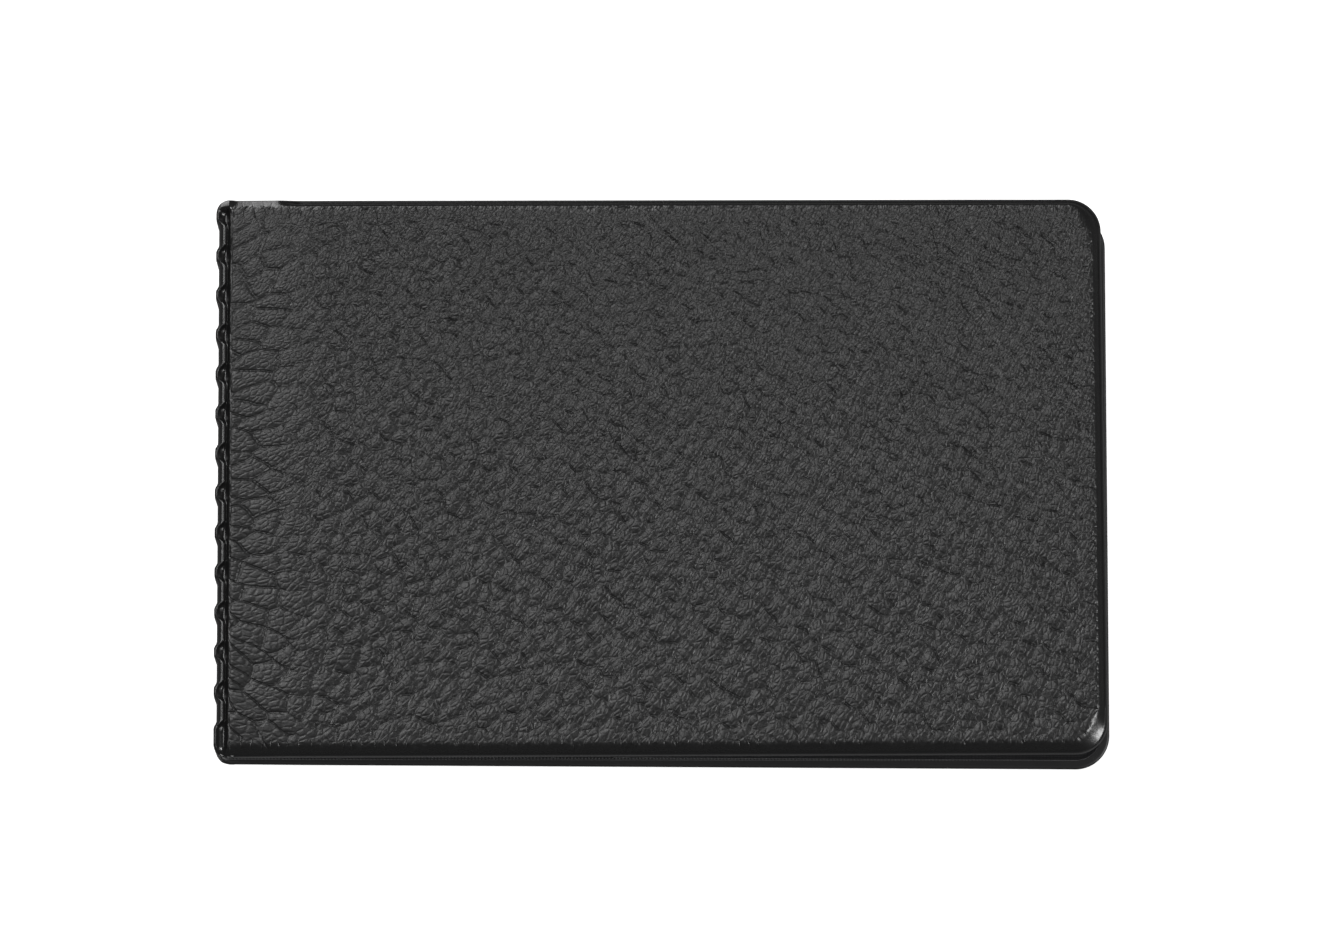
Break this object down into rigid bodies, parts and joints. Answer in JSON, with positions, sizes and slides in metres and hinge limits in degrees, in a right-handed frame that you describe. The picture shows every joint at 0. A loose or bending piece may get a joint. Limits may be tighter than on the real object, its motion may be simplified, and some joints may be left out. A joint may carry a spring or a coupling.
{
  "type": "bifold wallet",
  "caption": "Pocket bifold card case in black pebbled leather with a fluted spine, padded covers and a welded insert of clear card sleeves that fan open.",
  "frame": {"origin": "centre of the underside of the closed case's bounding box, on the surface it lies on", "axes": "+X from the spine to the free edges, +Y along the fold lines, +Z from the back cover up to the front cover"},
  "size_m": [0.11, 0.0698, 0.0102],
  "materials": {
    "leather": "black pebble-grain leather, satin",
    "foam": "soft padding foam",
    "board": "raw stiffener board",
    "lining": "fine black lining, matt",
    "vinyl": "soft black vinyl",
    "film": "clear flexible film, glossy"
  },
  "bodies": {
    "back": {"back_cover_leather": "leather", "back_padding": "foam", "back_board": "board", "back_lining": "lining", "back_pocket": "lining", "insert_back_flap": "vinyl"},
    "spine": {"spine_leather": "leather", "spine_lining": "lining", "insert_binding_strip": "vinyl"},
    "front": {"front_cover_leather": "leather", "front_padding": "foam", "front_board": "board", "front_lining": "lining", "front_pocket": "lining", "insert_front_flap": "vinyl"},
    "leaf_01": {"sleeve_01_back_film": "film", "sleeve_01_front_film": "film"},
    "leaf_02": {"sleeve_02_back_film": "film", "sleeve_02_front_film": "film"},
    "leaf_03": {"sleeve_03_back_film": "film", "sleeve_03_front_film": "film"},
    "leaf_04": {"sleeve_04_back_film": "film", "sleeve_04_front_film": "film"},
    "leaf_05": {"sleeve_05_back_film": "film", "sleeve_05_front_film": "film"},
    "leaf_06": {"sleeve_06_back_film": "film", "sleeve_06_front_film": "film"},
    "leaf_07": {"sleeve_07_back_film": "film", "sleeve_07_front_film": "film"},
    "leaf_08": {"sleeve_08_back_film": "film", "sleeve_08_front_film": "film"},
    "leaf_09": {"sleeve_09_back_film": "film", "sleeve_09_front_film": "film"},
    "leaf_10": {"sleeve_10_back_film": "film", "sleeve_10_front_film": "film"}
  },
  "joints": [
    {"name": "spine_fold", "type": "hinge", "parent": "back", "child": "spine", "pos_m": [-0.0534, 0, 0.0016], "axis": [0, -1, 0], "range_deg": [0, 90]},
    {"name": "front_fold", "type": "hinge", "parent": "spine", "child": "front", "pos_m": [-0.0534, 0, 0.0086], "axis": [0, -1, 0], "range_deg": [0, 90]},
    {"name": "leaf_01_turn", "type": "hinge", "parent": "spine", "child": "leaf_01", "pos_m": [-0.0534, 0, 0.0033], "axis": [0, -1, 0], "range_deg": [-60.01, 0]},
    {"name": "leaf_02_turn", "type": "hinge", "parent": "spine", "child": "leaf_02", "pos_m": [-0.0534, 0, 0.0037], "axis": [0, -1, 0], "range_deg": [-46.67, 0]},
    {"name": "leaf_03_turn", "type": "hinge", "parent": "spine", "child": "leaf_03", "pos_m": [-0.0534, 0, 0.0041], "axis": [0, -1, 0], "range_deg": [-33.35, 0]},
    {"name": "leaf_04_turn", "type": "hinge", "parent": "spine", "child": "leaf_04", "pos_m": [-0.0534, 0, 0.0045], "axis": [0, -1, 0], "range_deg": [-20.01, 0]},
    {"name": "leaf_05_turn", "type": "hinge", "parent": "spine", "child": "leaf_05", "pos_m": [-0.0534, 0, 0.0049], "axis": [0, -1, 0], "range_deg": [-6.68, 0]},
    {"name": "leaf_06_turn", "type": "hinge", "parent": "spine", "child": "leaf_06", "pos_m": [-0.0534, 0, 0.0053], "axis": [0, -1, 0], "range_deg": [0, 6.68]},
    {"name": "leaf_07_turn", "type": "hinge", "parent": "spine", "child": "leaf_07", "pos_m": [-0.0534, 0, 0.0057], "axis": [0, -1, 0], "range_deg": [0, 20.01]},
    {"name": "leaf_08_turn", "type": "hinge", "parent": "spine", "child": "leaf_08", "pos_m": [-0.0534, 0, 0.0061], "axis": [0, -1, 0], "range_deg": [0, 33.35]},
    {"name": "leaf_09_turn", "type": "hinge", "parent": "spine", "child": "leaf_09", "pos_m": [-0.0534, 0, 0.0065], "axis": [0, -1, 0], "range_deg": [0, 46.67]},
    {"name": "leaf_10_turn", "type": "hinge", "parent": "spine", "child": "leaf_10", "pos_m": [-0.0534, 0, 0.0069], "axis": [0, -1, 0], "range_deg": [0, 60.01]}
  ],
  "couplings": [
    {"joint": "front_fold", "follows": "spine_fold", "ratio": 1},
    {"joint": "leaf_01_turn", "follows": "spine_fold", "ratio": -0.6667},
    {"joint": "leaf_02_turn", "follows": "spine_fold", "ratio": -0.5185},
    {"joint": "leaf_03_turn", "follows": "spine_fold", "ratio": -0.3704},
    {"joint": "leaf_04_turn", "follows": "spine_fold", "ratio": -0.2222},
    {"joint": "leaf_05_turn", "follows": "spine_fold", "ratio": -0.0741},
    {"joint": "leaf_06_turn", "follows": "spine_fold", "ratio": 0.0741},
    {"joint": "leaf_07_turn", "follows": "spine_fold", "ratio": 0.2222},
    {"joint": "leaf_08_turn", "follows": "spine_fold", "ratio": 0.3704},
    {"joint": "leaf_09_turn", "follows": "spine_fold", "ratio": 0.5185},
    {"joint": "leaf_10_turn", "follows": "spine_fold", "ratio": 0.6667}
  ]
}
